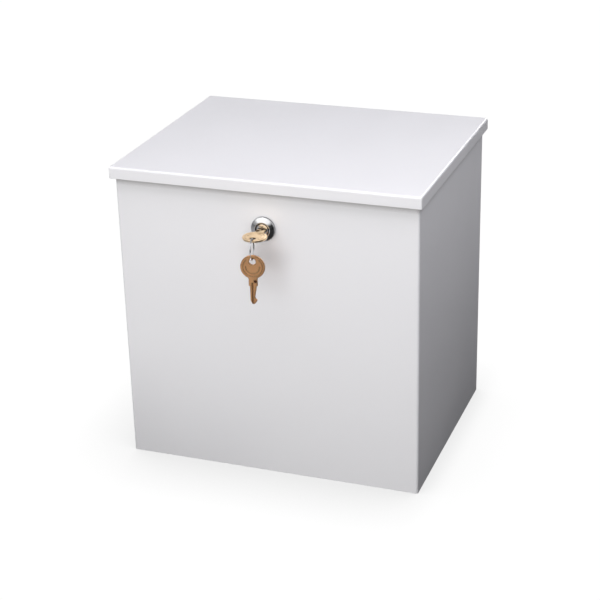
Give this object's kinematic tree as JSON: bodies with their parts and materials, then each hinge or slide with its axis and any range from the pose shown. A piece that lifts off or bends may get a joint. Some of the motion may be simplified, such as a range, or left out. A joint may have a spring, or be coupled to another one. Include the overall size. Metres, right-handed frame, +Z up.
{
  "type": "book drop box",
  "caption": "Lockable sheet steel box with a hinged overhanging lid, a cam lock with its keys, and a rear deposit slot closed by a gravity flap.",
  "frame": {"origin": "centre of the footprint on the floor plane", "axes": "+Z up, -Y towards the lock side, +Y towards the deposit slot, +X to the right as seen from the lock side"},
  "size_m": [0.3124, 0.289, 0.311],
  "materials": {
    "powder_coat": "white powder coat, satin, fine orange peel",
    "zinc_plate": "bright zinc plate",
    "chrome": "polished chrome",
    "key_brass": "stamped brass, satin",
    "pad_rubber": "matt black rubber"
  },
  "bodies": {
    "housing": {"body_wrap": "powder_coat", "back_panel": "powder_coat", "bottom_pan": "powder_coat", "hinge_leaf_body": "zinc_plate", "hinge_pin": "zinc_plate", "hinge_rivets": "zinc_plate", "slot_trim": "pad_rubber", "flap_rod": "zinc_plate", "flap_brackets": "zinc_plate", "rod_clips": "zinc_plate", "lock_housing": "chrome", "lock_washer": "zinc_plate", "lock_nut": "zinc_plate"},
    "lid": {"lid_pan": "powder_coat", "lid_catch": "zinc_plate", "lid_bumpers": "pad_rubber", "hinge_leaf_lid": "zinc_plate"},
    "lock_core": {"lock_plug": "chrome", "lock_wafers": "key_brass", "stop_washer": "zinc_plate", "cam": "zinc_plate", "cam_washer": "zinc_plate", "cam_screw": "zinc_plate"},
    "key": {"key_in_lock": "key_brass"},
    "ring": {"key_ring": "chrome"},
    "spare": {"spare_key": "key_brass"},
    "flap": {"deposit_flap": "powder_coat"}
  },
  "joints": [
    {"name": "lid_hinge", "type": "hinge", "parent": "housing", "child": "lid", "pos_m": [0, 0.1223, 0.3073], "axis": [-1, 0, 0], "range_deg": [0, 165]},
    {"name": "lock_turn", "type": "hinge", "parent": "housing", "child": "lock_core", "pos_m": [0, -0.12, 0.262], "axis": [0, 1, 0], "range_deg": [0, 90]},
    {"name": "key_withdraw", "type": "slide", "parent": "lock_core", "child": "key", "axis": [0, -1, 0], "range_m": [0, 0.03]},
    {"name": "ring_hang", "type": "hinge", "parent": "key", "child": "ring", "pos_m": [0, -0.1488, 0.262], "axis": [-0.5774, -0.5774, 0.5774], "range_deg": [0, 120]},
    {"name": "spare_key_swing", "type": "hinge", "parent": "ring", "child": "spare", "pos_m": [0.00108, -0.15389, 0.2541], "axis": [0.9781, 0.2079, 0], "range_deg": [-60, 30]},
    {"name": "flap_swing", "type": "hinge", "parent": "housing", "child": "flap", "pos_m": [0, 0.11345, 0.286], "axis": [-1, 0, 0], "range_deg": [0, 75]}
  ],
  "couplings": [
    {"joint": "ring_hang", "follows": "lock_turn", "ratio": 1.3333}
  ]
}
